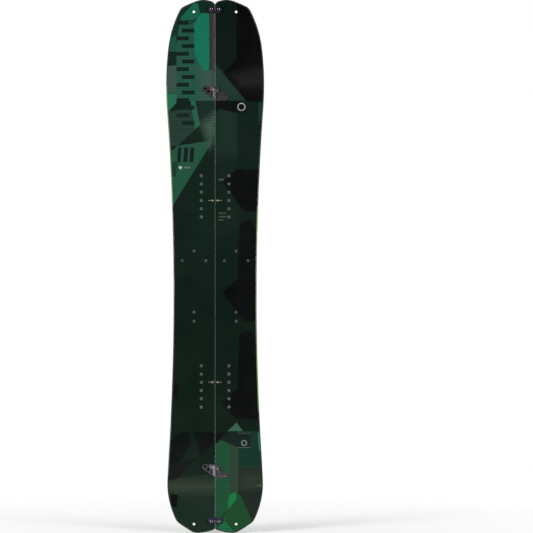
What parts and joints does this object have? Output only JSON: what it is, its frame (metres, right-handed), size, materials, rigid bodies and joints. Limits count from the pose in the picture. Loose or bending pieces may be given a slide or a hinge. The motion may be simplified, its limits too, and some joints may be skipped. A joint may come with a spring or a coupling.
{
  "type": "splitboard",
  "caption": "Touring snowboard that splits lengthwise along a straight seam; hook clips hold the halves together and turning tongue clips keep the tips level.",
  "frame": {"origin": "below the middle of the board's box, level with the lowest point of the tail, on the seam", "axes": "+Z from tail to nose, +X across the board to the right half as seen from the topsheet, +Y out of the base, so the topsheet faces -Y"},
  "size_m": [0.3022, 0.0443, 1.6399],
  "materials": {
    "topsheet": "gloss lacquer over a printed sheet",
    "base": "structure-ground and waxed",
    "steel_edge": "ground",
    "sidewall": "machined",
    "spacer": "sanded",
    "core": "planed",
    "laminate": "cured resin over glass fibre",
    "insert": "turned",
    "clip_plate": "black anodised, bead blasted",
    "clip_hook": "grey anodised, brushed",
    "clip_handle": "clear anodised",
    "tongue": "blue-black anodised",
    "fastener": "turned, polished head",
    "nut": "black oxide"
  },
  "bodies": {
    "left_half": {"left_base": "base", "left_outer_edge": "steel_edge", "left_seam_edge": "steel_edge", "left_lower_laminate": "laminate", "left_core": "core", "left_outer_sidewall": "sidewall", "left_seam_sidewall": "sidewall", "left_nose_spacer": "spacer", "left_tail_spacer": "spacer", "left_upper_laminate": "laminate", "left_topsheet": "topsheet", "left_binding_inserts": "insert", "left_touring_inserts": "insert", "left_clip_inserts": "insert", "front_clip_hook_plate": "clip_plate", "front_clip_hook_screws": "fastener", "front_clip_pivot_bolt": "fastener", "rear_clip_hook_plate": "clip_plate", "rear_clip_hook_screws": "fastener", "rear_clip_pivot_bolt": "fastener", "nose_clip_pivot_bush": "fastener", "nose_clip_pivot_bolt": "fastener", "nose_clip_pivot_nut": "nut", "tail_clip_catch_disc": "tongue", "tail_clip_catch_bolt": "fastener", "tail_clip_catch_nut": "nut"},
    "right_half": {"right_base": "base", "right_outer_edge": "steel_edge", "right_seam_edge": "steel_edge", "right_lower_laminate": "laminate", "right_core": "core", "right_outer_sidewall": "sidewall", "right_seam_sidewall": "sidewall", "right_nose_spacer": "spacer", "right_tail_spacer": "spacer", "right_upper_laminate": "laminate", "right_topsheet": "topsheet", "right_binding_inserts": "insert", "right_touring_inserts": "insert", "right_clip_inserts": "insert", "front_clip_catch_plate": "clip_plate", "front_clip_catch_screws": "fastener", "front_clip_catch_post": "fastener", "rear_clip_catch_plate": "clip_plate", "rear_clip_catch_screws": "fastener", "rear_clip_catch_post": "fastener", "nose_clip_catch_disc": "tongue", "nose_clip_catch_bolt": "fastener", "nose_clip_catch_nut": "nut", "tail_clip_pivot_bush": "fastener", "tail_clip_pivot_bolt": "fastener", "tail_clip_pivot_nut": "nut"},
    "front_hook": {"front_clip_hook": "clip_hook", "front_clip_handle": "clip_handle", "front_clip_rivet": "fastener"},
    "rear_hook": {"rear_clip_hook": "clip_hook", "rear_clip_handle": "clip_handle", "rear_clip_rivet": "fastener"},
    "nose_tongue": {"nose_clip_tongue": "tongue"},
    "tail_tongue": {"tail_clip_tongue": "tongue"}
  },
  "joints": [
    {"name": "split_slide", "type": "slide", "parent": "left_half", "child": "right_half", "axis": [1, 0, 0], "range_m": [0, 0.02]},
    {"name": "front_hook_turn", "type": "hinge", "parent": "left_half", "child": "front_hook", "pos_m": [-0.011, 0.01469, 1.369], "axis": [0, -0.9998, 0.0219], "range_deg": [0, 150]},
    {"name": "rear_hook_turn", "type": "hinge", "parent": "left_half", "child": "rear_hook", "pos_m": [-0.011, 0.0143, 0.2037], "axis": [0, -0.9998, -0.0223], "range_deg": [0, 150]},
    {"name": "nose_tongue_turn", "type": "hinge", "parent": "left_half", "child": "nose_tongue", "pos_m": [-0.0114, -0.0141, 1.6105], "axis": [0, 0.961, 0.2766], "range_deg": [0, 100]},
    {"name": "tail_tongue_turn", "type": "hinge", "parent": "right_half", "child": "tail_tongue", "pos_m": [0.0114, 0.00106, 0.035], "axis": [0, 0.9737, -0.2277], "range_deg": [0, 100]}
  ],
  "couplings": [
    {"joint": "front_hook_turn", "follows": "split_slide", "rad_per_m": 130.9},
    {"joint": "rear_hook_turn", "follows": "split_slide", "rad_per_m": 130.9}
  ]
}
